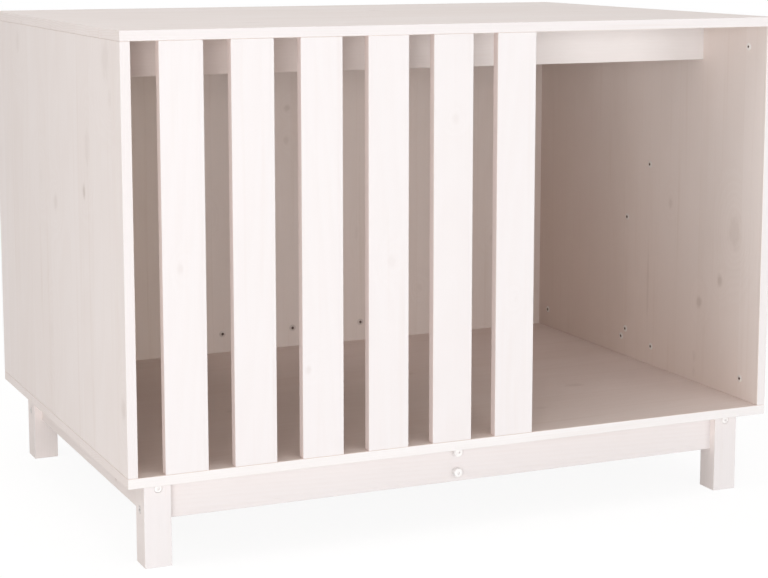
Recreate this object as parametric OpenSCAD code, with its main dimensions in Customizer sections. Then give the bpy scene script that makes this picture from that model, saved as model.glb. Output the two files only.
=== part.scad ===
// Indoor dog house in white-stained pine. It is an open-fronted box on a low frame
// with four legs: upright slats close the left part of the front, and the rest of
// the front is the doorway. Millimetres. X runs along the width, the front faces -Y,
// +Z is up, and the origin is on the ground under the middle of the house.

/* [House] */
// Overall width, side to side
house_width = 1000; // [900:10:1200]
// Overall depth, front to back
house_depth = 700; // [600:10:800]
// Height of the box, from the underside of its floor to its top face
box_height = 600; // [500:10:700]

/* [Boards] */
// Thickness of the two top boards
top_thickness = 14; // [13:0.5:18]
// Thickness of the two floor boards
floor_thickness = 14; // [13:0.5:18]
// Thickness of the four side boards
side_thickness = 14; // [13:0.5:18]
// Thickness of the three back boards
back_thickness = 14; // [13:0.5:18]
// Radius of the eased edges on every piece of wood
edge_radius = 1; // [0.5:0.25:2]

/* [Front slats] */
// Width of each upright slat
slat_width = 60; // [50:1:64]
// Clear gap beside each slat
slat_gap = 37.6; // [30:0.2:42]
// Thickness of the slats
slat_thickness = 14; // [12:1:18]

/* [Top rails] */
// Height of the two rails under the top
rail_height = 58; // [50:1:80]
// Thickness of the rails
rail_thickness = 14; // [12:1:20]

/* [Base frame] */
// Height of the legs, from the ground to the floor boards
leg_height = 121; // [100:1:150]
// Side of the square legs
leg_size = 38; // [36:1:45]
// Distance of the legs from the outside of the house
leg_inset = 30; // [20:1:60]
// Height of the aprons between the legs
apron_height = 58; // [50:1:80]
// Thickness of the aprons
apron_thickness = 14; // [14:1:16]
// Distance of an apron's outer face behind the leg's outer face
apron_setback = 13; // [8:1:14]
// Thickness of the bearer under the middle of the floor
bearer_thickness = 14; // [14:1:24]

/* [Bolts and barrel nuts] */
// Diameter of the bolts
bolt_diameter = 6; // [5:0.5:6]
// Diameter of the bolt heads on the aprons
bolt_head_diameter = 13; // [11:0.5:15]
// Height of the bolt heads
bolt_head_height = 7.5; // [6:0.5:8]
// Width and height of the bevel around a bolt head's face
head_bevel = 0.8; // [0.4:0.1:1.5]
// Width of the hexagon socket, flat to flat
socket_width = 4; // [3:0.5:5]
// Depth of the hexagon socket
socket_depth = 1.8; // [1.4:0.1:2.2]
// Distance of a bolt from the apron's upper or lower edge
bolt_edge = 14; // [12:1:18]
// Distance of the bolts in the front and rear faces of the legs from the tops of the legs
leg_bolt_edge = 12; // [11:0.5:18]
// Diameter of the bolt heads in the legs
leg_bolt_head_diameter = 11; // [10:0.5:13]
// How far the bolt heads are let into the legs
leg_bolt_sink = 7; // [0:0.5:8]
// Clearance around a bolt head that is let into a leg
head_room = 0.4; // [0.3:0.1:1]
// Distance from the end of an apron to its barrel nut
nut_distance = 30; // [20:1:40]
// Diameter of the barrel nuts
nut_diameter = 10; // [10:0.5:12]
// Length of the barrel nuts
nut_length = 12; // [11:0.5:13]
// Length of bolt that shows past the barrel nut
bolt_tail = 3; // [1:0.5:6]

/* [Cam locks] */
// Diameter of the cam locks
cam_diameter = 10; // [9:0.5:12]
// Depth of the cam locks
cam_depth = 11; // [10:0.5:12]
// How far a cam's collar reaches over the wood around its pocket
collar_lip = 0.8; // [0.5:0.1:1.5]
// Height of a cam's sloped collar above the wood
collar_height = 0.9; // [0.5:0.1:0.9]
// Diameter of the flat face within a cam's collar
cam_face_diameter = 5.6; // [5.4:0.2:7]
// Diameter of the key hole in a cam's face
key_diameter = 4; // [3:0.5:5]
// Depth of the key hole
key_depth = 2.5; // [1.5:0.5:3]
// Distance of a cam from the top or floor board that it holds
cam_rise = 32; // [28:1:36]
// Distance of the seam cams from the seam between two side boards
seam_cam_reach = 34; // [28:1:36]
// Distance of the outer seam cams from the end of a side board
seam_cam_end = 47; // [46:1:60]
// Distance of the inner seam cams from the middle of a side board
seam_cam_middle = 48; // [40:1:60]
// Distance of the other cams from the long edges of a side board
side_cam_inset = 47; // [44:1:60]
// Distance of the outer cams from the long edges of a back board
back_cam_inset = 34; // [30:1:60]
// Diameter of a stud's smooth part
stud_diameter = 5; // [4:0.5:5]
// Diameter of a stud's screw
stud_screw_diameter = 6; // [5:0.5:7]
// Length of a stud's screw
stud_screw_length = 10; // [8:0.5:11]

/* [Dowels and screws] */
// Diameter of the dowels between legs and aprons
leg_dowel_diameter = 8; // [6:0.5:8]
// Length of the dowels between legs and aprons
leg_dowel_length = 20; // [14:1:20]
// Diameter of the dowels in slats, rails and board seams
dowel_diameter = 6; // [5:0.5:6]
// Length of the dowels in slats and rails
dowel_length = 20; // [14:1:22]
// Length of the dowels in the board seams
seam_dowel_length = 30; // [20:1:40]
// Distance between the two dowels in the end of a slat or rail
dowel_spacing = 32; // [20:1:36]
// Diameter of the screws that hold the floor to the base frame
screw_diameter = 4; // [3:0.5:4.5]
// Diameter of the screws' flat heads
screw_head_diameter = 8; // [7:0.5:9]
// Height of the screws' heads
screw_head_height = 2; // [1.5:0.5:3]
// Length of a screw under its head
screw_length = 30; // [20:1:40]
// Length of a screw that bites into the floor board
screw_bite = 10; // [6:1:11]

/* [Hidden] */
// Clearance around every pin, bolt, cam and dowel in its hole
fit = 0.1;
// Spare depth past the end of a dowel or screw in a blind hole
end_room = 0.4;
// How far a cutter reaches past the face that it opens
over = 1;
// Corner facets of an eased edge
edge_steps = 3;
// Number of slats, each of which is a piece of its own
slat_count = 6;
last_slat = slat_count - 1;
$fn = 48;

side_wood = "#e6ddd7";
light_wood = "#f4eee9";
inner_wood = "#d8cbc2";
leg_wood = "#efe9e4";
dowel_wood = "#d9ba8f";
bolt_paint = "#f5f3f0";
zinc = "#c9c7c3";

floor_under = leg_height;
floor_top = floor_under + floor_thickness;
roof_top = floor_under + box_height;
roof_under = roof_top - top_thickness;
wall_height = roof_under - floor_top;
wall_middle = (roof_under + floor_top) / 2;
inner_width = house_width - 2 * side_thickness;
front_y = -house_depth / 2;
back_face_y = house_depth / 2 - back_thickness;
back_board_width = inner_width / 3;

slat_y = front_y + slat_thickness / 2;
rail_y = house_depth / 4;
rail_under = roof_under - rail_height;

leg_left = leg_inset - house_width / 2;
leg_right = leg_left + leg_size;
leg_front = front_y + leg_inset;
leg_back = leg_front + leg_size;
apron_x = leg_left + apron_setback + apron_thickness / 2;
apron_y = leg_front + apron_setback + apron_thickness / 2;
apron_under = leg_height - apron_height;
bolt_high = leg_height - bolt_edge;
leg_bolt_high = leg_height - leg_bolt_edge;
bolt_low = apron_under + bolt_edge;
bearer_front = apron_y + apron_thickness / 2;
nut_reach = nut_distance + nut_diameter / 2 + bolt_tail;
rail_dowel_step = inner_width / 3;
board_dowel_step = inner_width / 6;
back_dowel_step = wall_height / 5;
screw_x = house_width / 4;
screw_y = house_depth / 4;
screw_seat = floor_under + screw_bite - screw_length;

// Shapes that several pieces share

function arc_point(centre, angle) =
    [centre[0] + edge_radius * cos(angle), centre[1] + edge_radius * sin(angle)];

function eased_corners(w, h) = [
    [w - edge_radius, h - edge_radius],
    [edge_radius, h - edge_radius],
    [edge_radius, edge_radius],
    [w - edge_radius, edge_radius]
];

// A rectangle whose corners are short arcs
module eased_rectangle(w, h) {
    corners = eased_corners(w, h);
    polygon([
        for (corner = [0 : 3], step = [0 : edge_steps])
            arc_point(corners[corner], 90 * (corner + step / edge_steps))
    ]);
}

// Bars eased along their length, with sawn ends, starting at the origin
module bar_along_x(size) {
    rotate([90, 0, 90]) linear_extrude(size[0]) eased_rectangle(size[1], size[2]);
}

module bar_along_y(size) {
    translate([0, size[1], 0])
        rotate([90, 0, 0]) linear_extrude(size[1]) eased_rectangle(size[0], size[2]);
}

module bar_along_z(size) {
    linear_extrude(size[2]) eased_rectangle(size[0], size[1]);
}

// A board eased on all of its edges
module eased_board(size) {
    intersection() {
        bar_along_x(size);
        bar_along_y(size);
        bar_along_z(size);
    }
}

// Keeps the front half (side -1) or the rear half (side 1) of a panel
module half_of_depth(side) {
    intersection() {
        children();
        translate([-house_width, side < 0 ? -house_depth : 0, 0])
            cube([2 * house_width, house_depth, 2 * roof_top]);
    }
}

module both_sides() {
    children();
    mirror([1, 0, 0]) children();
}

module front_and_rear() {
    children();
    mirror([0, 1, 0]) children();
}

module four_corners() {
    both_sides() front_and_rear() children();
}

// Hardware, each drawn with its seat on the wood at z = 0 and its body below

// Bolt with a bevelled head and a hexagon socket: the shank runs down from the head's seat
module furniture_bolt(shank, head_diameter) {
    side_height = bolt_head_height - head_bevel;
    face_diameter = head_diameter - 2 * head_bevel;
    color(bolt_paint) difference() {
        union() {
            translate([0, 0, -shank]) cylinder(d = bolt_diameter, h = shank);
            cylinder(d = head_diameter, h = side_height);
            translate([0, 0, side_height])
                cylinder(d1 = head_diameter, d2 = face_diameter, h = head_bevel);
        }
        translate([0, 0, bolt_head_height - socket_depth])
            cylinder(d = socket_width / cos(30), h = socket_depth + over, $fn = 6);
    }
}

module bolt_hole(depth) {
    translate([0, 0, -depth]) cylinder(d = bolt_diameter + 2 * fit, h = depth + over);
}

// Bolt of a leg, with the leg's outer face at z = 0 and the head let into it
module leg_bolt() {
    translate([0, 0, -leg_bolt_sink])
        furniture_bolt(leg_size + nut_reach - leg_bolt_sink, leg_bolt_head_diameter);
}

// A leg bolt's hole, and the pocket for its head
module leg_bolt_hole() {
    bolt_hole(leg_size + over);
    translate([0, 0, -leg_bolt_sink])
        cylinder(d = leg_bolt_head_diameter + 2 * head_room, h = leg_bolt_sink + over);
}

// Barrel nut with its cross hole, for a bolt that runs along local X at that depth
module barrel_nut(bolt_depth) {
    color(zinc) difference() {
        translate([0, 0, -nut_length]) cylinder(d = nut_diameter, h = nut_length);
        translate([-nut_diameter, 0, -bolt_depth])
            rotate([0, 90, 0]) cylinder(d = bolt_diameter + 2 * fit, h = 2 * nut_diameter);
    }
}

module nut_hole() {
    translate([0, 0, -nut_length]) cylinder(d = nut_diameter + 2 * fit, h = nut_length + over);
}

// Cam lock: a round cam with a collar that slopes from a key hole down to the wood, and
// a mouth for the stud, towards local +X
module cam_lock(board_thickness) {
    color(zinc) difference() {
        union() {
            translate([0, 0, -cam_depth]) cylinder(d = cam_diameter, h = cam_depth);
            cylinder(d1 = cam_diameter + 2 * collar_lip, d2 = cam_face_diameter, h = collar_height);
        }
        translate([0, 0, -key_depth])
            cylinder(d = key_diameter, h = key_depth + collar_height + over, $fn = 6);
        translate([-stud_diameter / 2, 0, -board_thickness / 2])
            rotate([0, 90, 0]) cylinder(d = stud_diameter + 2 * fit, h = cam_diameter);
    }
}

// The cam's round pocket, and the stud's hole from it out through the board's edge
module cam_hole(board_thickness, reach) {
    translate([0, 0, -cam_depth]) cylinder(d = cam_diameter + 2 * fit, h = cam_depth + over);
    translate([0, 0, -board_thickness / 2])
        rotate([0, 90, 0]) cylinder(d = stud_diameter + 2 * fit, h = reach + over);
}

// Stud that the cam grips: smooth from the cam to the joint, then a screw
module cam_stud(board_thickness, reach) {
    tip = stud_diameter / 4;
    color(zinc) translate([0, 0, -board_thickness / 2]) rotate([0, 90, 0]) {
        translate([0, 0, -tip]) cylinder(d = stud_diameter, h = reach + tip);
        translate([0, 0, reach]) cylinder(d = stud_screw_diameter, h = stud_screw_length);
    }
}

// The stud's screw hole in the board beyond the joint
module stud_hole(board_thickness, reach) {
    translate([reach - over, 0, -board_thickness / 2]) rotate([0, 90, 0])
        cylinder(d = stud_screw_diameter + 2 * fit, h = over + stud_screw_length + end_room);
}

// A dowel centred on the joint at z = 0, or with extra its hole
module dowel(diameter, length, play = 0, extra = 0) {
    translate([0, 0, -length / 2 - extra])
        cylinder(d = diameter + 2 * play, h = length + 2 * extra);
}

module dowel_hole(diameter, length) {
    dowel(diameter, length, fit, end_room);
}

// Where the hardware sits

// A spot on the inner face of the left side: local +Z points into the house, and
// local +X points down, turned by the angle towards the rear
module on_left_wall(y, z, turn) {
    translate([-inner_width / 2, y, z]) rotate([0, 90, 0]) rotate([0, 0, turn]) children();
}

// A spot on the inner face of the back: local +Z points forwards into the house, and
// local +X points to the right, turned by the angle towards the top
module on_back_wall(x, z, turn) {
    translate([x, back_face_y, z]) rotate([90, 0, 0]) rotate([0, 0, turn]) children();
}

// Cams that hold the left side's front or rear board to the floor or to the top
module at_left_side_cams(half, is_top) {
    z = is_top ? roof_under - cam_rise : floor_top + cam_rise;
    for (y = [side_cam_inset, house_depth / 2 - side_cam_inset])
        on_left_wall(half * y, z, is_top ? 180 : 0) children();
}

// Cams that pull the two left side boards together. The boards are one shape, turned
// end for end, so the front board's cams are high and the rear board's are low
module at_left_seam_cams(half) {
    ends = [
        wall_middle - half * seam_cam_middle,
        wall_middle - half * (wall_height / 2 - seam_cam_end)
    ];
    for (z = ends)
        on_left_wall(half * seam_cam_reach, z, -90 * half) children();
}

// Cams that hold one back board to the floor or to the top
module at_back_cams(board, is_top) {
    z = is_top ? roof_under - cam_rise : floor_top + cam_rise;
    middle = board * back_board_width;
    outer = back_board_width / 2 - back_cam_inset;
    for (x = [middle - outer, middle, middle + outer])
        on_back_wall(x, z, is_top ? 90 : -90) children();
}

function slat_left(index) =
    side_thickness - house_width / 2 + slat_gap + index * (slat_width + slat_gap);

function slat_middle(index) = slat_left(index) + slat_width / 2;

module at_slat_dowels(index, z) {
    for (step = [-1, 1])
        translate([slat_middle(index) + step * dowel_spacing / 2, slat_y, z]) children();
}

module at_rail_end_dowels(half) {
    rail_middle = roof_under - rail_height / 2;
    for (step = [-1, 1])
        translate([-inner_width / 2, half * rail_y, rail_middle + step * dowel_spacing / 2])
            rotate([0, 90, 0]) children();
}

module at_rail_top_dowels(half) {
    for (step = [-1, 0, 1])
        translate([step * rail_dowel_step, half * rail_y, roof_under]) children();
}

// Dowels along the seam between the two floor boards or the two top boards
module at_board_seam_dowels(z) {
    for (step = [-2 : 2])
        translate([step * board_dowel_step, 0, z]) rotate([90, 0, 0]) children();
}

// Dowels along the seam to the left or right of the middle back board
module at_back_seam_dowels(side) {
    for (step = [-1.5 : 1.5])
        translate([
            side * back_board_width / 2,
            back_face_y + back_thickness / 2,
            wall_middle + step * back_dowel_step
        ]) rotate([0, 90, 0]) children();
}

// Bolt through the front left leg's front face into the left apron
module at_leg_front_bolt() {
    translate([apron_x, leg_front, leg_bolt_high]) rotate([90, 0, 0]) children();
}

// Bolt through the front left leg's outer face into the front apron
module at_leg_side_bolt() {
    translate([leg_left, apron_y, bolt_low]) rotate([0, -90, 0]) children();
}

// The barrel nuts of these two bolts, open towards the middle of the house
module at_left_apron_nut() {
    translate([apron_x + apron_thickness / 2, leg_back + nut_distance, leg_bolt_high])
        rotate([0, 90, 0]) rotate([0, 0, 90]) children();
}

module at_front_apron_nut() {
    translate([leg_right + nut_distance, apron_y + apron_thickness / 2, bolt_low])
        rotate([-90, 0, 0]) children();
}

module at_left_apron_dowel() {
    translate([apron_x, leg_back, bolt_low]) rotate([90, 0, 0]) children();
}

module at_front_apron_dowel() {
    translate([leg_right, apron_y, bolt_high]) rotate([0, 90, 0]) children();
}

// Bolts through the front apron into the front end of the bearer
module at_bearer_bolts() {
    for (z = [bolt_low, bolt_high])
        translate([0, apron_y - apron_thickness / 2, z]) rotate([90, 0, 0]) children();
}

module at_bearer_nuts() {
    for (z = [bolt_low, bolt_high])
        translate([bearer_thickness / 2, bearer_front + nut_distance, z])
            rotate([0, 90, 0]) rotate([0, 0, 90]) children();
}

// Screws up through the front apron, and through the front half of the bearer
module at_apron_screws() {
    for (step = [-1, 1]) translate([step * screw_x, apron_y, screw_seat]) children();
}

module at_bearer_screw() {
    translate([0, -screw_y, screw_seat]) children();
}

module floor_screw() {
    color(zinc) {
        cylinder(d = screw_diameter, h = screw_length);
        translate([0, 0, -screw_head_height])
            cylinder(d = screw_head_diameter, h = screw_head_height);
    }
}

// The screw's hole in the wood, and the wider pocket below its head
module screw_hole() {
    translate([0, 0, -over])
        cylinder(d = screw_diameter + 2 * fit, h = over + screw_length + end_room);
    translate([0, 0, -leg_height])
        cylinder(d = screw_head_diameter + 2 * fit, h = leg_height);
}

// The box

module top_board(half) {
    color(side_wood) difference() {
        half_of_depth(half)
            translate([-house_width / 2, front_y, roof_under])
                eased_board([house_width, house_depth, top_thickness]);
        both_sides() at_left_side_cams(half, true) stud_hole(side_thickness, cam_rise);
        at_board_seam_dowels(roof_under + top_thickness / 2)
            dowel_hole(dowel_diameter, seam_dowel_length);
        at_rail_top_dowels(half) dowel_hole(dowel_diameter, dowel_length);
        if (half < 0)
            for (index = [0 : last_slat])
                at_slat_dowels(index, roof_under) dowel_hole(dowel_diameter, dowel_length);
        if (half > 0)
            for (board = [-1 : 1])
                at_back_cams(board, true) stud_hole(back_thickness, cam_rise);
    }
}

module floor_board(half) {
    color(inner_wood) difference() {
        half_of_depth(half)
            translate([-house_width / 2, front_y, floor_under])
                eased_board([house_width, house_depth, floor_thickness]);
        both_sides() at_left_side_cams(half, false) stud_hole(side_thickness, cam_rise);
        at_board_seam_dowels(floor_under + floor_thickness / 2)
            dowel_hole(dowel_diameter, seam_dowel_length);
        front_and_rear() {
            at_apron_screws() screw_hole();
            at_bearer_screw() screw_hole();
        }
        if (half < 0)
            for (index = [0 : last_slat])
                at_slat_dowels(index, floor_top) dowel_hole(dowel_diameter, dowel_length);
        if (half > 0)
            for (board = [-1 : 1])
                at_back_cams(board, false) stud_hole(back_thickness, cam_rise);
    }
}

module left_side_board(half) {
    color(side_wood) difference() {
        half_of_depth(half)
            translate([-house_width / 2, front_y, floor_top])
                eased_board([side_thickness, house_depth, wall_height]);
        at_left_side_cams(half, false) cam_hole(side_thickness, cam_rise);
        at_left_side_cams(half, true) cam_hole(side_thickness, cam_rise);
        at_left_seam_cams(half) cam_hole(side_thickness, seam_cam_reach);
        at_left_seam_cams(-half) stud_hole(side_thickness, seam_cam_reach);
        at_rail_end_dowels(half) dowel_hole(dowel_diameter, dowel_length);
    }
}

module right_side_board(half) {
    mirror([1, 0, 0]) left_side_board(half);
}

module back_board(board) {
    color(inner_wood) difference() {
        translate([(board - 0.5) * back_board_width, back_face_y, floor_top])
            cube([back_board_width, back_thickness, wall_height]);
        at_back_cams(board, false) cam_hole(back_thickness, cam_rise);
        at_back_cams(board, true) cam_hole(back_thickness, cam_rise);
        for (side = board == 0 ? [-1, 1] : [board])
            at_back_seam_dowels(side) dowel_hole(dowel_diameter, seam_dowel_length);
    }
}

module slat(index) {
    color(light_wood) difference() {
        translate([slat_left(index), front_y, floor_top])
            eased_board([slat_width, slat_thickness, wall_height]);
        at_slat_dowels(index, floor_top) dowel_hole(dowel_diameter, dowel_length);
        at_slat_dowels(index, roof_under) dowel_hole(dowel_diameter, dowel_length);
    }
}

module top_rail(half) {
    color(light_wood) difference() {
        translate([-inner_width / 2, half * rail_y - rail_thickness / 2, rail_under])
            bar_along_x([inner_width, rail_thickness, rail_height]);
        both_sides() at_rail_end_dowels(half) dowel_hole(dowel_diameter, dowel_length);
        at_rail_top_dowels(half) dowel_hole(dowel_diameter, dowel_length);
    }
}

// The base frame

// The front left leg, which the other three mirror
module leg() {
    color(leg_wood) difference() {
        translate([leg_left, leg_front, 0]) eased_board([leg_size, leg_size, leg_height]);
        at_leg_front_bolt() leg_bolt_hole();
        at_leg_side_bolt() leg_bolt_hole();
        at_left_apron_dowel() dowel_hole(leg_dowel_diameter, leg_dowel_length);
        at_front_apron_dowel() dowel_hole(leg_dowel_diameter, leg_dowel_length);
    }
}

module front_apron() {
    color(light_wood) difference() {
        translate([leg_right, apron_y - apron_thickness / 2, apron_under])
            bar_along_x([-2 * leg_right, apron_thickness, apron_height]);
        both_sides() {
            at_leg_side_bolt() bolt_hole(leg_size + nut_reach + end_room);
            at_front_apron_nut() nut_hole();
            at_front_apron_dowel() dowel_hole(leg_dowel_diameter, leg_dowel_length);
        }
        at_bearer_bolts() bolt_hole(apron_thickness + over);
        at_apron_screws() screw_hole();
    }
}

module left_apron() {
    color(side_wood) difference() {
        translate([apron_x - apron_thickness / 2, leg_back, apron_under])
            bar_along_y([apron_thickness, -2 * leg_back, apron_height]);
        front_and_rear() {
            at_leg_front_bolt() bolt_hole(leg_size + nut_reach + end_room);
            at_left_apron_nut() nut_hole();
            at_left_apron_dowel() dowel_hole(leg_dowel_diameter, leg_dowel_length);
        }
    }
}

module centre_bearer() {
    color(leg_wood) difference() {
        translate([-bearer_thickness / 2, bearer_front, apron_under])
            bar_along_y([bearer_thickness, -2 * bearer_front, apron_height]);
        front_and_rear() {
            at_bearer_bolts() bolt_hole(apron_thickness + nut_reach + end_room);
            at_bearer_nuts() nut_hole();
            at_bearer_screw() screw_hole();
        }
    }
}

// Groups of like fasteners

module leg_front_bolts() {
    four_corners() at_leg_front_bolt() leg_bolt();
}

module leg_side_bolts() {
    four_corners() at_leg_side_bolt() leg_bolt();
}

module leg_barrel_nuts() {
    four_corners() {
        at_left_apron_nut() barrel_nut(apron_thickness / 2);
        at_front_apron_nut() barrel_nut(apron_thickness / 2);
    }
}

module bearer_bolts() {
    front_and_rear() at_bearer_bolts() furniture_bolt(apron_thickness + nut_reach, bolt_head_diameter);
}

module bearer_barrel_nuts() {
    front_and_rear() at_bearer_nuts() barrel_nut(bearer_thickness / 2);
}

module leg_dowels() {
    color(dowel_wood) four_corners() {
        at_left_apron_dowel() dowel(leg_dowel_diameter, leg_dowel_length);
        at_front_apron_dowel() dowel(leg_dowel_diameter, leg_dowel_length);
    }
}

module floor_screws() {
    front_and_rear() {
        at_apron_screws() floor_screw();
        at_bearer_screw() floor_screw();
    }
}

module at_side_cams() {
    both_sides()
        for (half = [-1, 1], is_top = [false, true])
            at_left_side_cams(half, is_top) children();
}

module at_seam_cams() {
    both_sides()
        for (half = [-1, 1]) at_left_seam_cams(half) children();
}

module at_all_back_cams() {
    for (board = [-1 : 1], is_top = [false, true])
        at_back_cams(board, is_top) children();
}

module slat_dowels() {
    color(dowel_wood)
        for (index = [0 : last_slat], z = [floor_top, roof_under])
            at_slat_dowels(index, z) dowel(dowel_diameter, dowel_length);
}

module rail_dowels() {
    color(dowel_wood) for (half = [-1, 1]) {
        both_sides() at_rail_end_dowels(half) dowel(dowel_diameter, dowel_length);
        at_rail_top_dowels(half) dowel(dowel_diameter, dowel_length);
    }
}

module seam_dowels() {
    color(dowel_wood) {
        for (z = [floor_under + floor_thickness / 2, roof_under + top_thickness / 2])
            at_board_seam_dowels(z) dowel(dowel_diameter, seam_dowel_length);
        for (side = [-1, 1])
            at_back_seam_dowels(side) dowel(dowel_diameter, seam_dowel_length);
    }
}

top_board(-1);  // top_board_front
top_board(1);  // top_board_rear
floor_board(-1);  // floor_board_front
floor_board(1);  // floor_board_rear
left_side_board(-1);  // left_side_board_front
left_side_board(1);  // left_side_board_rear
right_side_board(-1);  // right_side_board_front
right_side_board(1);  // right_side_board_rear
back_board(-1);  // back_board_left
back_board(0);  // back_board_centre
back_board(1);  // back_board_right
slat(0);  // slat_1
slat(1);  // slat_2
slat(2);  // slat_3
slat(3);  // slat_4
slat(4);  // slat_5
slat(5);  // slat_6
top_rail(-1);  // top_rail_front
top_rail(1);  // top_rail_rear
leg();  // front_left_leg
mirror([1, 0, 0]) leg();  // front_right_leg
mirror([0, 1, 0]) leg();  // rear_left_leg
mirror([0, 1, 0]) mirror([1, 0, 0]) leg();  // rear_right_leg
front_apron();
mirror([0, 1, 0]) front_apron();  // rear_apron
left_apron();
mirror([1, 0, 0]) left_apron();  // right_apron
centre_bearer();
leg_front_bolts();
leg_side_bolts();
leg_barrel_nuts();
bearer_bolts();
bearer_barrel_nuts();
leg_dowels();
floor_screws();
at_side_cams() cam_lock(side_thickness);  // side_cam_locks
at_side_cams() cam_stud(side_thickness, cam_rise);  // side_cam_studs
at_seam_cams() cam_lock(side_thickness);  // seam_cam_locks
at_seam_cams() cam_stud(side_thickness, seam_cam_reach);  // seam_cam_studs
at_all_back_cams() cam_lock(back_thickness);  // back_cam_locks
at_all_back_cams() cam_stud(back_thickness, cam_rise);  // back_cam_studs
slat_dowels();
rail_dowels();
seam_dowels();
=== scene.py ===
"""Looks of the slatted indoor dog house: white-stained pine, painted bolts, zinc fittings.

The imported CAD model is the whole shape. This script gives each of its pieces a material
worked out from the place on the piece, and sets up the studio and the camera. Metres,
+X to the right, the front faces -Y, +Z is up, as in the CAD model.
"""

import math

import bpy
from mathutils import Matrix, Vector


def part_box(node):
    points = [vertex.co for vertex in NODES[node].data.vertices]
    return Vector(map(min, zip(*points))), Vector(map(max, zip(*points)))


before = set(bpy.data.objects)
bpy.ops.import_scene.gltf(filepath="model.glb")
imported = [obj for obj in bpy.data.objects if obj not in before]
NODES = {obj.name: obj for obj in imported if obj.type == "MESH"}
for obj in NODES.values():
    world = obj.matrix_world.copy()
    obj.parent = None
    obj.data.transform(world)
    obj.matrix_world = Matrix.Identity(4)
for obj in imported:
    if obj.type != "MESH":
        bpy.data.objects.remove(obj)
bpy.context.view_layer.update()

# The camera at the photograph's viewing angle: pixels, millimetres, metres and degrees
IMAGE_WIDTH = 768
SENSOR_WIDTH = 36.0
FOCAL_PIXELS = 1925.5
CAMERA_PLACE = (-1.1921, -2.7168, 0.8403)
CAMERA_TURN = 24.106
CAMERA_DOWN = 8.414
CAMERA_SHIFT_UP = -0.09
CAMERA_NEAR = 0.1
CAMERA_FAR = 60.0

# The room's own light, and the soft boxes that aim at the middle of the house:
# (place, size, power)
WORLD_LEVEL = 0.44
HOUSE_MIDDLE = (0.0, 0.0, 0.38)
LOW_BOX = (1.3, 1.2)
LAMPS = {
    "front_left_box": ((-2.23, -3.31, 0.66), LOW_BOX, 46.0),
    "front_box": ((0.28, -3.98, 0.66), LOW_BOX, 23.0),
    "front_right_box": ((2.0, -3.46, 0.66), LOW_BOX, 25.0),
    "high_left_box": ((-3.1, -0.55, 2.84), (1.8, 1.4), 22.5),
    "top_box": ((0.0, -0.3, 4.0), (3.0, 3.0), 42.0),
}

# The floor: its size, the colour that light meets, and the shadow and glow that cameras see
FLOOR_REACH = 9.0
FLOOR_CORNERS = 96
FLOOR_COLOUR = (0.92, 0.92, 0.92)
FLOOR_SHADOW = (0.12, 0.117, 0.114)
FLOOR_GLOW = 0.91
WHITE = (1, 1, 1, 1)

# Colours, all linear. The coats paint light and shade by the way a face turns: the stain is
# most neutral on the front, which takes the most light, warmer on the other outer faces, and
# warmest inside the cabin, where the warmth is painted shade. Each coat below is set to the
# light that falls on its kind of face
FRONT_COAT = (0.775, 0.737, 0.735)
OUTER_COAT = (0.84, 0.765, 0.735)
INNER_COAT = (0.835, 0.745, 0.70)
FLOOR_COAT = (0.91, 0.80, 0.76)
RAIL_COAT = (0.765, 0.73, 0.72)
SLAT_SIDE_COAT = (0.865, 0.742, 0.705)
FLOOR_EDGE_COAT = (0.81, 0.785, 0.78)
LEG_PAINTED_LIGHT_COAT = (0.96, 0.885, 0.86)
RIGHT_COAT = (0.91, 0.83, 0.79)
BACK_COAT = (0.91, 0.805, 0.735)
COATS = (FRONT_COAT, OUTER_COAT, INNER_COAT)

# Painted light and shade on an inner coat, which turns to another tone across the face:
# (painted coat, direction, painted as far as, own coat from). The right wall is painted darker
# low and towards the back, and the floor darker to the left and front, as shade; the rail and
# the back wall are painted paler at the left, as light.
RIGHT_PAINTED_SHADE = ((0.74, 0.62, 0.56), (0, -0.64, 1), 0.05, 0.74)
FLOOR_PAINTED_SHADE = ((0.78, 0.675, 0.625), (1, 1, 0), -0.20, 0.45)
RAIL_PAINTED_LIGHT = ((0.91, 0.81, 0.77), (1, 0, 0), -0.35, 0.35)
BACK_PAINTED_LIGHT = (INNER_COAT, (-1, 0, 0), 0.12, 0.27)

BARE_PINE = (0.50, 0.33, 0.22)
KNOT_BROWN = (0.34, 0.235, 0.18)
# Cam colours: the flat face is painted dark and the key hole darker, as shade; the cams high under the
# top are painted pale, as light
CAM_FACE_SHADE = (0.30, 0.22, 0.18)
CAM_PAINTED_LIGHT = (0.97, 0.93, 0.90)
KEY_HOLE_SHADE = (0.16, 0.10, 0.08)

# Distance between two growth rings, and how wide a stave is. Slats, timbers and legs are
# sawn from one piece, so their stave is wider than they are
RING_SPACING = 0.0034
BOARD_STAVE = 0.056
SLAT_STAVE = 0.0976
TIMBER_STAVE = 0.4
LEG_STAVE = 0.9

# How strongly each thing lets the pine show through the stain
FIBRE_SHOWS = 0.06
STREAK_SHOWS = 0.08
FLECK_SHOWS = 0.06
CLOUD_SHOWS = 0.12
STAVE_SHOWS = 0.05
SEAM_SHOWS = 0.03
LATE_WOOD_SHOWS = 0.024
END_GRAIN_SHOWS = 0.05
KNOT_SHOWS = 0.36


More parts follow.
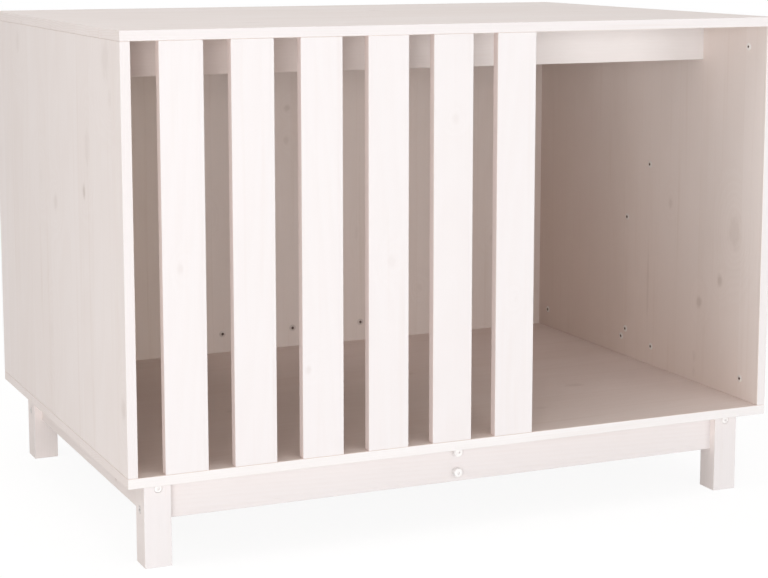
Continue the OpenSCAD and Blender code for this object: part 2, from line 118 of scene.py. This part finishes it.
class Sheet:
    """Adds nodes to one node tree and wires them to what they take."""

    def __init__(self, tree):
        self.tree = tree

    def feed(self, socket, value):
        """Links a socket, or sets its own value."""
        if isinstance(value, bpy.types.NodeSocket):
            self.tree.links.new(value, socket)
        else:
            socket.default_value = value

    def add(self, kind, takes=None, **settings):
        made = self.tree.nodes.new(kind)
        for name, value in settings.items():
            setattr(made, name, value)
        for key, value in (takes or {}).items():
            self.feed(made.inputs[key], value)
        return made

    def math(self, operation, *values, clamp=False):
        made = self.add("ShaderNodeMath", operation=operation, use_clamp=clamp)
        for socket, value in zip(made.inputs, values):
            self.feed(socket, value)
        return made.outputs[0]

    def vector(self, operation, *values, out=0):
        made = self.add("ShaderNodeVectorMath", operation=operation)
        for socket, value in zip(made.inputs, values):
            self.feed(socket, value)
        return made.outputs[out]

    def join(self, x, y, z):
        return self.add("ShaderNodeCombineXYZ", {"X": x, "Y": y, "Z": z}).outputs[0]

    def split(self, vector):
        return self.add("ShaderNodeSeparateXYZ", {"Vector": vector}).outputs

    def ramp(self, value, low, lit_high, to_low=0.0, to_high=1.0):
        """Smooth step of a value from low..high to to_low..to_high."""
        made = self.add(
            "ShaderNodeMapRange",
            {0: value, 1: low, 2: lit_high, 3: to_low, 4: to_high},
            interpolation_type="SMOOTHSTEP",
        )
        return made.outputs[0]

    def noise(self, vector, scale=1.0, detail=2.0):
        made = self.add(
            "ShaderNodeTexNoise",
            {"Vector": vector, "Scale": scale, "Detail": detail},
        )
        return made.outputs["Fac"]

    def mix(self, factor, a, b, blend="MIX"):
        made = self.add("ShaderNodeMix", data_type="RGBA", blend_type=blend)
        self.feed(made.inputs[0], factor)
        for socket, colour in ((made.inputs[6], a), (made.inputs[7], b)):
            self.feed(socket, colour if isinstance(colour, bpy.types.NodeSocket) else (*colour, 1))
        return made.outputs[2]


def new_group(name, takes, gives):
    """A node group with named sockets: (its tree as a Sheet, its inputs, its output node)."""
    tree = bpy.data.node_groups.new(name, "ShaderNodeTree")
    for socket, (kind, value) in takes.items():
        made = tree.interface.new_socket(socket, in_out="INPUT", socket_type="NodeSocket" + kind)
        made.default_value = value
    for socket, kind in gives.items():
        tree.interface.new_socket(socket, in_out="OUTPUT", socket_type="NodeSocket" + kind)
    sheet = Sheet(tree)
    return sheet, sheet.add("NodeGroupInput").outputs, sheet.add("NodeGroupOutput").inputs


def make_knot_group():
    """One knot: a round mark whose branch bends the growth rings around it.

    The vector is (across the grain, through the board, along the grain). With d as the
    distance from the centre over the size, shortened along the grain by the stretch,
    the core is a smooth step down past d = 1, and the swirl falls off as exp(-d * d / 5).
    Knots are chained: each adds its swirl and keeps the stronger core.
    """
    sheet, takes, gives = new_group(
        "pine_knot",
        {
            "Vector": ("Vector", (0, 0, 0)),
            "Across": ("Float", 0.0),
            "Along": ("Float", 0.0),
            "Size": ("Float", 0.008),
            "Stretch": ("Float", 1.5),
            "Strength": ("Float", 1.0),
            "Swirl": ("Float", 0.0),
            "Core": ("Float", 0.0),
        },
        {"Swirl": "Float", "Core": "Float"},
    )
    place = sheet.split(takes["Vector"])
    uneven = sheet.noise(takes["Vector"], 70.0, 2.0)
    across = sheet.math("SUBTRACT", place["X"], takes["Across"])
    along = sheet.math("SUBTRACT", place["Z"], takes["Along"])
    along = sheet.math("DIVIDE", along, takes["Stretch"])
    far = sheet.vector("LENGTH", sheet.join(across, 0.0, along), out=1)
    far = sheet.math("DIVIDE", far, takes["Size"])
    edge = sheet.math("MULTIPLY_ADD", uneven, 0.9, far)
    core = sheet.ramp(edge, 0.75, 1.9, 1.0, 0.0)
    core = sheet.math("MULTIPLY", core, takes["Strength"])
    fall = sheet.math("EXPONENT", sheet.math("MULTIPLY", sheet.math("POWER", far, 2.0), -0.2))
    swirl = sheet.math("MULTIPLY", sheet.math("MULTIPLY", fall, takes["Size"]), 1.5)
    sheet.feed(gives["Swirl"], sheet.math("ADD", swirl, takes["Swirl"]))
    sheet.feed(gives["Core"], sheet.math("MAXIMUM", core, takes["Core"]))
    return sheet.tree


def make_pine_group():
    """White-stained pine, sawn from logs and glued up from staves.

    The vector is (across the grain, through the board, along the grain). Voronoi cells
    across the grain are the staves. In each stave the growth rings are circles about a
    pith that lies under the board, off to one side and slightly out of line with the
    grain: ring = fraction of (distance from the pith + swirl of the knots) / spacing.
    Late wood is the dark end of each ring. Fibres, flecks, streaks and an uneven coat of
    stain are noises drawn out along the grain.
    """
    sheet, takes, gives = new_group(
        "white_stained_pine",
        {
            "Vector": ("Vector", (0, 0, 0)),
            "Seed": ("Float", 0.0),
            "Stave width": ("Float", BOARD_STAVE),
            "Swirl": ("Float", 0.0),
            "Core": ("Float", 0.0),
            "End grain": ("Float", 0.0),
            "Figure": ("Float", 1.0),
            "Stain and painted light": ("Color", (*FRONT_COAT, 1)),
            "Pine": ("Color", (*BARE_PINE, 1)),
            "Knot": ("Color", (*KNOT_BROWN, 1)),
        },
        {"Colour": "Color", "Roughness": "Float", "Height": "Float"},
    )
    across, deep, along = sheet.split(takes["Vector"])
    shifted = sheet.math("ADD", sheet.math("DIVIDE", across, takes["Stave width"]), takes["Seed"])

    def staves(feature):
        takes_here = {"W": shifted, "Scale": 1.0, "Randomness": 0.45}
        made = sheet.add("ShaderNodeTexVoronoi", takes_here, voronoi_dimensions="1D", feature=feature)
        return made.outputs

    stave = staves("F1")
    edge = staves("DISTANCE_TO_EDGE")["Distance"]
    seam = sheet.ramp(edge, 0.004, 0.03, 1.0, 0.0)
    chance = sheet.add("ShaderNodeSeparateColor", {"Color": stave["Color"]}).outputs

    # Where the pith of this stave's log lies
    local = sheet.math("SUBTRACT", shifted, stave["W"])
    local = sheet.math("MULTIPLY", local, takes["Stave width"])
    lean = sheet.math("MULTIPLY", sheet.math("SUBTRACT", chance["Blue"], 0.5), along)
    wave = sheet.join(
        sheet.math("MULTIPLY", chance["Red"], 40.0),
        sheet.math("MULTIPLY", across, 5.0),
        sheet.math("MULTIPLY", along, 2.6),
    )
    wobble = sheet.math("SUBTRACT", sheet.noise(wave, 1.0, 2.0), 0.5)
    pith_across = sheet.math("MULTIPLY", sheet.math("SUBTRACT", chance["Red"], 0.5), 0.085)
    side = sheet.math("SUBTRACT", local, pith_across)
    side = sheet.math("ADD", side, sheet.math("MULTIPLY", wobble, 0.012))
    depth = sheet.math("MULTIPLY_ADD", chance["Green"], 0.055, 0.016)
    depth = sheet.math("ADD", depth, sheet.math("MULTIPLY", lean, 0.05))
    depth = sheet.math("ADD", sheet.math("ADD", depth, deep), sheet.math("MULTIPLY", wobble, 0.006))
    radius = sheet.vector("LENGTH", sheet.join(side, depth, 0.0), out=1)
    radius = sheet.math("ADD", radius, takes["Swirl"])
    ring = sheet.math("FRACT", sheet.math("DIVIDE", radius, RING_SPACING))
    rise = sheet.ramp(ring, 0.0, 0.7)
    late = sheet.math("MULTIPLY", rise, sheet.ramp(ring, 0.7, 1.0, 1.0, 0.0))

    # What is drawn out along the grain
    def drawn(wide, long):
        return sheet.vector("MULTIPLY", takes["Vector"], (wide, wide, long))

    fibre = sheet.noise(drawn(850.0, 12.0), 1.0, 3.0)
    streak = sheet.ramp(sheet.noise(drawn(85.0, 2.4), 1.0, 2.0), 0.56, 0.80)
    fleck = sheet.ramp(sheet.noise(drawn(420.0, 34.0), 1.0, 1.0), 0.70, 0.80)
    cloud = sheet.math("SUBTRACT", sheet.noise(drawn(7.0, 3.2), 1.0, 3.0), 0.5)
    own = sheet.math("SUBTRACT", chance["Green"], 0.5)

    # How far the pine shows through the stain
    shows = sheet.math("MULTIPLY", late, LATE_WOOD_SHOWS)
    for value, weight in (
        (fibre, FIBRE_SHOWS),
        (streak, STREAK_SHOWS),
        (fleck, FLECK_SHOWS),
        (cloud, CLOUD_SHOWS),
        (own, STAVE_SHOWS),
        (seam, SEAM_SHOWS),
    ):
        shows = sheet.math("MULTIPLY_ADD", value, weight, shows)
    shows = sheet.math("MULTIPLY", shows, takes["Figure"])
    end_late = sheet.math("MULTIPLY", late, takes["End grain"])
    shows = sheet.math("MULTIPLY_ADD", end_late, END_GRAIN_SHOWS, shows, clamp=True)
    colour = sheet.mix(shows, takes["Stain and painted light"], takes["Pine"])
    shade = sheet.math("MULTIPLY_ADD", fibre, 0.25, takes["Core"], clamp=True)
    shade = sheet.math("MULTIPLY", shade, takes["Core"])
    colour = sheet.mix(sheet.math("MULTIPLY", shade, KNOT_SHOWS), colour, takes["Knot"])
    sheet.feed(gives["Colour"], colour)
    rough = sheet.math("MULTIPLY_ADD", shows, 0.25, 0.56)
    sheet.feed(gives["Roughness"], sheet.math("MULTIPLY_ADD", fibre, 0.08, rough, clamp=True))
    height = sheet.math("MULTIPLY_ADD", late, 0.5, sheet.math("MULTIPLY", fibre, 0.5))
    height = sheet.math("MULTIPLY_ADD", seam, -0.8, height)
    sheet.feed(gives["Height"], sheet.math("MULTIPLY_ADD", takes["Core"], -0.6, height))
    return sheet.tree


def make_coat_group():
    """Colour of the stain on a face: the front's, the other outer faces' or the inside's, which paint
    light and shade by the way the face turns.

    Inward is the direction from the board into the cabin, or zero for a piece that has
    no inner face.
    """
    sheet, takes, gives = new_group(
        "stain_with_painted_light",
        {
            "Normal": ("Vector", (0, 0, 0)),
            "Inward": ("Vector", (0, 0, 0)),
            "Front": ("Color", (*FRONT_COAT, 1)),
            "Outer": ("Color", (*OUTER_COAT, 1)),
            "Inner": ("Color", (*INNER_COAT, 1)),
        },
        {"Colour": "Color"},
    )
    # Painted light and shade: the coat changes with the way the face turns
    to_front = sheet.vector("DOT_PRODUCT", takes["Normal"], (0, -1, 0), out=1)
    colour = sheet.mix(sheet.ramp(to_front, 0.4, 0.8), takes["Outer"], takes["Front"])
    to_cabin = sheet.vector("DOT_PRODUCT", takes["Normal"], takes["Inward"], out=1)
    sheet.feed(gives["Colour"], sheet.mix(sheet.ramp(to_cabin, 0.4, 0.8), colour, takes["Inner"]))
    return sheet.tree


knot_group = make_knot_group()
pine_group = make_pine_group()
coat_group = make_coat_group()

# Which of the object's axes each way of cutting takes as (across, through, along)
GRAIN = {
    "upright, in a side": ("Y", "X", "Z"),
    "upright, in a front": ("X", "Y", "Z"),
    "lying along the width": ("Y", "Z", "X"),
    "on edge, along the width": ("Z", "Y", "X"),
    "on edge, front to back": ("Z", "X", "Y"),
}


def new_material(name):
    """An empty material: (the material, its tree as a Sheet, its Principled BSDF)."""
    material = bpy.data.materials.new(name)
    material.use_nodes = True
    sheet = Sheet(material.node_tree)
    shader = sheet.tree.nodes["Principled BSDF"]
    return material, sheet, shader


def pine(
    name,
    grain,
    seed,
    inward=(0, 0, 0),
    knots=(),
    stave=BOARD_STAVE,
    figure=1.0,
    coats=COATS,
    painted_light_and_shade=None,
):
    """White-stained pine with its grain laid one way, and knots at chosen places.

    Each knot is (across the grain, along the grain, size, stretch, strength). The coats
    are those of the faces to the front, of the other outer faces and of the inner faces,
    and by the way a face turns they paint light and shade. Painted_light_and_shade says
    where the inner coat is painted darker or paler across the face, as shade or light.
    """
    material, sheet, shader = new_material(name)
    axes = GRAIN[grain]
    spot = sheet.add("ShaderNodeTexCoord").outputs
    place = sheet.split(spot["Object"])
    vector = sheet.join(*(place[axis] for axis in axes))
    facing = sheet.split(spot["Normal"])[axes[2]]
    end_grain = sheet.ramp(sheet.math("ABSOLUTE", facing), 0.6, 0.9)
    swirl = core = 0.0
    for across, along, size, stretch, strength in knots:
        knot = sheet.add("ShaderNodeGroup", node_tree=knot_group)
        values = (vector, across, along, size, stretch, strength, swirl, core)
        for socket, value in zip(knot.inputs, values):
            sheet.feed(socket, value)
        swirl, core = knot.outputs
    coat = sheet.add("ShaderNodeGroup", node_tree=coat_group)
    sheet.feed(coat.inputs["Normal"], spot["Normal"])
    sheet.feed(coat.inputs["Inward"], inward)
    # The coats, with light and shade painted in by the way a face turns
    for socket, stain in zip(("Front", "Outer", "Inner"), coats):
        sheet.feed(coat.inputs[socket], (*stain, 1))
    # Painted light and shade: across the face the inner coat turns into another tone
    if painted_light_and_shade:
        painted_coat, direction, painted_as_far_as, own_coat_from = painted_light_and_shade
        far = sheet.vector("DOT_PRODUCT", spot["Object"], direction, out=1)
        inner = sheet.mix(sheet.ramp(far, painted_as_far_as, own_coat_from), painted_coat, coats[2])
        sheet.feed(coat.inputs["Inner"], inner)
    wood = sheet.add("ShaderNodeGroup", node_tree=pine_group)
    takes = {
        "Vector": vector,
        "Seed": seed,
        "Stave width": stave,
        "Swirl": swirl,
        "Core": core,
        "End grain": end_grain,
        "Figure": figure,
        "Stain and painted light": coat.outputs["Colour"],
    }
    for socket, value in takes.items():
        sheet.feed(wood.inputs[socket], value)
    height = wood.outputs["Height"]
    bump = sheet.add("ShaderNodeBump", {"Height": height, "Strength": 0.35, "Distance": 0.0004})
    sheet.feed(shader.inputs["Base Color"], wood.outputs["Colour"])
    sheet.feed(shader.inputs["Roughness"], wood.outputs["Roughness"])
    sheet.feed(shader.inputs["Normal"], bump.outputs["Normal"])
    shader.inputs["Specular IOR Level"].default_value = 0.25
    return material


def leg_pine(name, seed, to_middle):
    """Pine of a leg: the faces that turn to the middle of the house have a paler coat, painted light
    where the house shades them.
    """
    coats = (FRONT_COAT, OUTER_COAT, LEG_PAINTED_LIGHT_COAT)
    return pine(
        name,
        "upright, in a front",
        seed,
        to_middle,
        stave=LEG_STAVE,
        figure=0.7,
        coats=coats,
    )


def painted_metal(name, colour):
    """White paint on steel: a faint orange peel, and dust in uneven patches."""
    material, sheet, shader = new_material(name)
    place = sheet.add("ShaderNodeTexCoord").outputs["Object"]
    dust = sheet.ramp(sheet.noise(place, 240.0, 3.0), 0.45, 0.8)
    peel = sheet.noise(place, 1400.0, 2.0)
    darker = tuple(0.8 * part for part in colour)
    dusty = sheet.mix(sheet.math("MULTIPLY", dust, 0.5), colour, darker)
    sheet.feed(shader.inputs["Base Color"], dusty)
    sheet.feed(shader.inputs["Roughness"], sheet.math("MULTIPLY_ADD", dust, 0.25, 0.32))
    bump = sheet.add("ShaderNodeBump", {"Height": peel, "Strength": 0.2, "Distance": 0.0001})
    sheet.feed(shader.inputs["Normal"], bump.outputs["Normal"])
    return material


def zinc(name):
    """Bright zinc plating: crystals of slightly different tone under fine scratches."""
    material, sheet, shader = new_material(name)
    place = sheet.add("ShaderNodeTexCoord").outputs["Object"]
    crystals = sheet.add("ShaderNodeTexVoronoi", {"Vector": place, "Scale": 900.0})
    scratch = sheet.noise(sheet.vector("MULTIPLY", place, (300.0, 2600.0, 300.0)), 1.0, 2.0)
    tone = sheet.mix(crystals.outputs["Distance"], (0.72, 0.71, 0.68), (0.52, 0.51, 0.49))
    sheet.feed(shader.inputs["Base Color"], tone)
    sheet.feed(shader.inputs["Roughness"], sheet.math("MULTIPLY_ADD", scratch, 0.25, 0.28))
    shader.inputs["Metallic"].default_value = 1.0
    return material


def cast_cam(name, axis, wood, bright, dull):
    """A pale cast cam in a wall: a bright sloped collar, a flat face painted dark as shade, and a key
    hole painted darker still as its shade.

    Wood is how far the face of the boards lies from the middle of the cabin along the
    axis. The key hole, painted dark as shade, is what lies deeper than that, and every face
    that doesn't turn to the cabin. The cams close under the top are painted pale all over,
    as painted light.
    """
    material, sheet, shader = new_material(name)
    spot = sheet.add("ShaderNodeTexCoord").outputs
    far = sheet.math("ABSOLUTE", sheet.split(spot["Object"])[axis])
    deep = sheet.ramp(far, wood, wood + 0.0006)
    turned = sheet.math("ABSOLUTE", sheet.split(spot["Normal"])[axis])
    # Painted shade in the key hole and on the faces that turn away from the cabin
    hole = sheet.math("MAXIMUM", deep, sheet.ramp(turned, 0.3, 0.7, 1.0, 0.0))
    grain = sheet.noise(spot["Object"], 1500.0, 2.0)
    metal = sheet.mix(sheet.math("MULTIPLY", grain, 0.4), bright, dull)
    # Painted shade on the flat face
    flat = sheet.ramp(turned, 0.965, 0.99, 0.0, 0.65)
    metal = sheet.mix(flat, metal, CAM_FACE_SHADE)
    # Painted light on the cams high under the top
    lit_high = sheet.ramp(sheet.split(spot["Object"])["Z"], 0.60, 0.66)
    metal = sheet.mix(lit_high, metal, CAM_PAINTED_LIGHT)
    sheet.feed(shader.inputs["Base Color"], sheet.mix(hole, metal, KEY_HOLE_SHADE))
    sheet.feed(shader.inputs["Roughness"], sheet.math("MULTIPLY_ADD", grain, 0.2, 0.35))
    return material


def beech(name):
    """Turned beech of the dowels: short dark rays over an even tan."""
    material, sheet, shader = new_material(name)
    place = sheet.add("ShaderNodeTexCoord").outputs["Object"]
    fine = sheet.vector("MULTIPLY", place, (900.0, 900.0, 250.0))
    ray = sheet.ramp(sheet.noise(fine, 1.0, 1.0), 0.55, 0.7)
    tone = sheet.noise(place, 60.0, 2.0)
    tan = sheet.mix(tone, (0.52, 0.32, 0.16), (0.44, 0.26, 0.13))
    rayed = sheet.mix(sheet.math("MULTIPLY", ray, 0.5), tan, (0.25, 0.12, 0.05))
    sheet.feed(shader.inputs["Base Color"], rayed)
    sheet.feed(shader.inputs["Roughness"], sheet.math("MULTIPLY_ADD", ray, 0.1, 0.55))
    return material


# Knots and smears: (across the grain, along the grain, size, stretch, strength)
LEFT_SIDE_KNOTS = (
    (-0.165, 0.493, 0.0075, 1.5, 0.9),
    (-0.185, 0.556, 0.0140, 2.2, 0.45),
    (-0.008, 0.459, 0.0120, 1.3, 0.55),
    (-0.300, 0.631, 0.0090, 1.6, 0.4),
    (-0.282, 0.681, 0.0200, 1.6, 0.5),
    (0.198, 0.679, 0.0150, 1.2, 0.4),
    (-0.335, 0.226, 0.0120, 1.5, 0.6),
    (0.035, 0.261, 0.0150, 1.6, 0.25),
    (0.075, 0.486, 0.0140, 1.4, 0.25),
)
RIGHT_SIDE_KNOTS = (
    (-0.243, 0.309, 0.0080, 1.4, 0.8),
    (-0.187, 0.266, 0.0085, 1.4, 0.8),
    (-0.280, 0.391, 0.0190, 1.7, 0.55),
    (-0.098, 0.414, 0.0070, 1.6, 0.6),
    (-0.176, 0.176, 0.0060, 1.6, 0.5),
    (-0.176, 0.151, 0.0055, 1.6, 0.5),
    (-0.034, 0.272, 0.0042, 19.0, 0.55),
)
SLAT_KNOTS = (
    (-0.424, 0.410, 0.0050, 1.8, 0.5),
    (-0.245, 0.258, 0.0055, 1.5, 0.5),
    (-0.122, 0.398, 0.0075, 1.5, 0.4),
    (-0.162, 0.470, 0.0050, 1.6, 0.3),
    (-0.025, 0.590, 0.0055, 1.5, 0.4),
    (0.070, 0.330, 0.0050, 1.6, 0.25),
)
BACK_KNOTS = (
    (-0.007, 0.550, 0.0070, 1.0, 0.7),
    (-0.009, 0.494, 0.0060, 1.3, 0.6),
    (0.121, 0.327, 0.0045, 3.0, 0.3),
    (0.242, 0.220, 0.0060, 1.4, 0.4),
    (-0.303, 0.590, 0.0080, 1.4, 0.6),
    (-0.160, 0.370, 0.0100, 1.4, 0.6),
    (0.210, 0.560, 0.0110, 1.4, 0.7),
    (0.390, 0.300, 0.0090, 1.4, 0.6),
)
TOP_KNOTS = (
    (-0.210, -0.270, 0.0090, 1.6, 0.5),
    (0.120, 0.060, 0.0110, 1.5, 0.6),
    (-0.060, 0.330, 0.0080, 1.5, 0.5),
    (0.270, -0.180, 0.0100, 1.5, 0.5),
    (0.210, 0.400, 0.0070, 1.6, 0.5),
)
FLOOR_KNOTS = (
    (-0.120, 0.300, 0.0110, 1.7, 0.6),
    (-0.230, 0.180, 0.0080, 1.6, 0.5),
    (0.060, 0.090, 0.0100, 1.5, 0.6),
    (0.240, 0.360, 0.0090, 1.5, 0.5),
    (-0.060, -0.250, 0.0090, 1.5, 0.6),
)
APRON_KNOTS = (
    (0.078, -0.141, 0.0050, 1.5, 0.9),
    (0.096, 0.150, 0.0060, 1.5, 0.5),
)

SIDE_CAM = cast_cam(
    "cast_side_cam",
    "X",
    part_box("right_side_board_front")[0].x,
    (0.84, 0.79, 0.75),
    (0.60, 0.54, 0.50),
)
FINISHES = {
    "top_board": pine("stained_top", "lying along the width", 3.1, (0, 0, -1), TOP_KNOTS),
    "floor_board": pine(
        "stained_floor",
        "lying along the width",
        7.7,
        (0, 0, 1),
        FLOOR_KNOTS,
        coats=(FLOOR_EDGE_COAT, OUTER_COAT, FLOOR_COAT),
        painted_light_and_shade=FLOOR_PAINTED_SHADE,
    ),
    "left_side_board": pine("stained_left_side", "upright, in a side", 12.3, (1, 0, 0), LEFT_SIDE_KNOTS),
    "right_side_board": pine(
        "stained_right_side",
        "upright, in a side",
        31.9,
        (-1, 0, 0),
        RIGHT_SIDE_KNOTS,
        coats=(FRONT_COAT, OUTER_COAT, RIGHT_COAT),
        painted_light_and_shade=RIGHT_PAINTED_SHADE,
    ),
    "back_board": pine(
        "stained_back",
        "upright, in a front",
        18.4,
        (0, -1, 0),
        BACK_KNOTS,
        coats=(FRONT_COAT, OUTER_COAT, BACK_COAT),
        painted_light_and_shade=BACK_PAINTED_LIGHT,
    ),
    "slat_": pine(
        "stained_slat",
        "upright, in a front",
        42.6,
        (0, 1, 0),
        SLAT_KNOTS,
        stave=SLAT_STAVE,
        figure=0.6,
        coats=(FRONT_COAT, SLAT_SIDE_COAT, INNER_COAT),
    ),
    "top_rail": pine(
        "stained_rail",
        "on edge, along the width",
        5.2,
        (0, -1, 0),
        stave=TIMBER_STAVE,
        figure=0.6,
        coats=(RAIL_COAT,) * 3,
        painted_light_and_shade=RAIL_PAINTED_LIGHT,
    ),
    "front_left_leg": leg_pine("stained_front_left_leg", 23.5, (0.8, 0.8, 0)),
    "front_right_leg": leg_pine("stained_front_right_leg", 24.5, (-0.8, 0.8, 0)),
    "rear_left_leg": leg_pine("stained_rear_left_leg", 25.5, (0.8, -0.8, 0)),
    "rear_right_leg": leg_pine("stained_rear_right_leg", 26.5, (-0.8, -0.8, 0)),
    "front_apron": pine("stained_front_apron", "on edge, along the width", 9.4, stave=TIMBER_STAVE),
    "rear_apron": pine("stained_rear_apron", "on edge, along the width", 9.4, stave=TIMBER_STAVE),
    "left_apron": pine(
        "stained_left_apron",
        "on edge, front to back",
        14.2,
        knots=APRON_KNOTS,
        stave=TIMBER_STAVE,
    ),
    "right_apron": pine("stained_right_apron", "on edge, front to back", 15.8, stave=TIMBER_STAVE),
    "centre_bearer": pine("stained_bearer", "on edge, front to back", 16.1, stave=TIMBER_STAVE),
    # The bolts in the legs' sides are a darker copy of the white bolt paint: painted shade
    "leg_side_bolts": painted_metal("shaded_bolt_paint", (0.66, 0.62, 0.60)),
    "bolts": painted_metal("white_bolt_paint", (0.87, 0.85, 0.84)),
    "dowels": beech("beech_dowel"),
    "side_cam_locks": SIDE_CAM,
    "seam_cam_locks": SIDE_CAM,
    # The cams in the back wall are a darker copy of the side cams: painted shade
    "back_cam_locks": cast_cam(
        "cast_back_cam_shaded",
        "Y",
        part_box("back_board_centre")[0].y,
        (0.72, 0.64, 0.60),
        (0.50, 0.42, 0.38),
    ),
    "cam_studs": zinc("zinc_stud"),
    "nuts": zinc("zinc_nut"),
    "screws": zinc("zinc_screw"),
}


def finish_of(name):
    """The finish whose key the node's name holds: fasteners first, as in slat_dowels."""
    fasteners = ("dowels", "leg_side_bolts", "bolts", "nuts", "screws")
    keys = sorted(FINISHES, key=lambda key: key not in fasteners)
    return FINISHES[next(key for key in keys if key in name)]


for name, piece in NODES.items():
    piece.data.materials.clear()
    piece.data.materials.append(finish_of(name))


def where_seen(sheet, plain, bright):
    """One shader as light meets it, another where a camera, a gloss or a glass shows it."""
    path = sheet.add("ShaderNodeLightPath").outputs
    seen = sheet.math("MAXIMUM", path["Is Camera Ray"], path["Is Glossy Ray"])
    seen = sheet.math("MAXIMUM", seen, path["Is Transmission Ray"])
    either = sheet.add("ShaderNodeMixShader", {"Fac": seen})
    sheet.feed(either.inputs[1], plain.outputs[0])
    sheet.feed(either.inputs[2], bright.outputs[0])
    return either.outputs[0]


def make_floor():
    """A round pale floor. Cameras see it as white with the object's soft shadow on it."""
    turns = [2 * math.pi * step / FLOOR_CORNERS for step in range(FLOOR_CORNERS)]
    rim = [(FLOOR_REACH * math.cos(turn), FLOOR_REACH * math.sin(turn), 0.0) for turn in turns]
    mesh = bpy.data.meshes.new("studio_floor")
    mesh.from_pydata(rim, [], [tuple(range(FLOOR_CORNERS))])
    floor = bpy.data.objects.new("studio_floor", mesh)
    bpy.context.scene.collection.objects.link(floor)
    material, sheet, shader = new_material("pale_floor")
    shader.inputs["Base Color"].default_value = (*FLOOR_COLOUR, 1)
    shader.inputs["Roughness"].default_value = 0.9
    shader.inputs["Specular IOR Level"].default_value = 0.1
    shadow = sheet.add("ShaderNodeBsdfDiffuse", {"Color": (*FLOOR_SHADOW, 1)})
    glow = sheet.add("ShaderNodeEmission", {"Color": WHITE, "Strength": FLOOR_GLOW})
    white = sheet.add("ShaderNodeAddShader")
    sheet.feed(white.inputs[0], shadow.outputs[0])
    sheet.feed(white.inputs[1], glow.outputs[0])
    surface = sheet.tree.nodes["Material Output"].inputs["Surface"]
    sheet.feed(surface, where_seen(sheet, shader, white))
    floor.data.materials.append(material)


def make_room_light():
    """White wherever the room itself is seen, and an even level of light from it."""
    world = bpy.data.worlds.new("studio_room")
    bpy.context.scene.world = world
    world.use_nodes = True
    sheet = Sheet(world.node_tree)
    sheet.tree.nodes.clear()
    lit = sheet.add("ShaderNodeBackground", {"Color": WHITE, "Strength": WORLD_LEVEL})
    white = sheet.add("ShaderNodeBackground", {"Color": WHITE, "Strength": 1.0})
    out = sheet.add("ShaderNodeOutputWorld")
    sheet.feed(out.inputs["Surface"], where_seen(sheet, lit, white))


def make_lamp(name, place, size, power):
    """A soft box that aims at the house, and that cameras and gloss don't show."""
    data = bpy.data.lights.new(name, "AREA")
    data.shape = "RECTANGLE"
    data.size, data.size_y = size
    data.energy = power
    lamp = bpy.data.objects.new(name, data)
    bpy.context.scene.collection.objects.link(lamp)
    lamp.location = place
    aim = Vector(HOUSE_MIDDLE) - Vector(place)
    lamp.rotation_euler = aim.to_track_quat("-Z", "Y").to_euler()
    lamp.visible_camera = False
    lamp.visible_glossy = False


def make_camera():
    """A camera turned to the right and tilted down, with a small shift for the framing."""
    data = bpy.data.cameras.new("photo_camera")
    data.sensor_width = SENSOR_WIDTH
    data.lens = FOCAL_PIXELS * SENSOR_WIDTH / IMAGE_WIDTH
    data.shift_y = CAMERA_SHIFT_UP
    data.clip_start = CAMERA_NEAR
    data.clip_end = CAMERA_FAR
    camera = bpy.data.objects.new("photo_camera", data)
    bpy.context.scene.collection.objects.link(camera)
    camera.location = CAMERA_PLACE
    camera.rotation_euler = (math.radians(90 - CAMERA_DOWN), 0, math.radians(-CAMERA_TURN))
    bpy.context.scene.camera = camera


make_floor()
make_room_light()
for lamp_name, lamp_set_up in LAMPS.items():
    make_lamp(lamp_name, *lamp_set_up)
make_camera()
bpy.context.scene.view_settings.view_transform = "Standard"
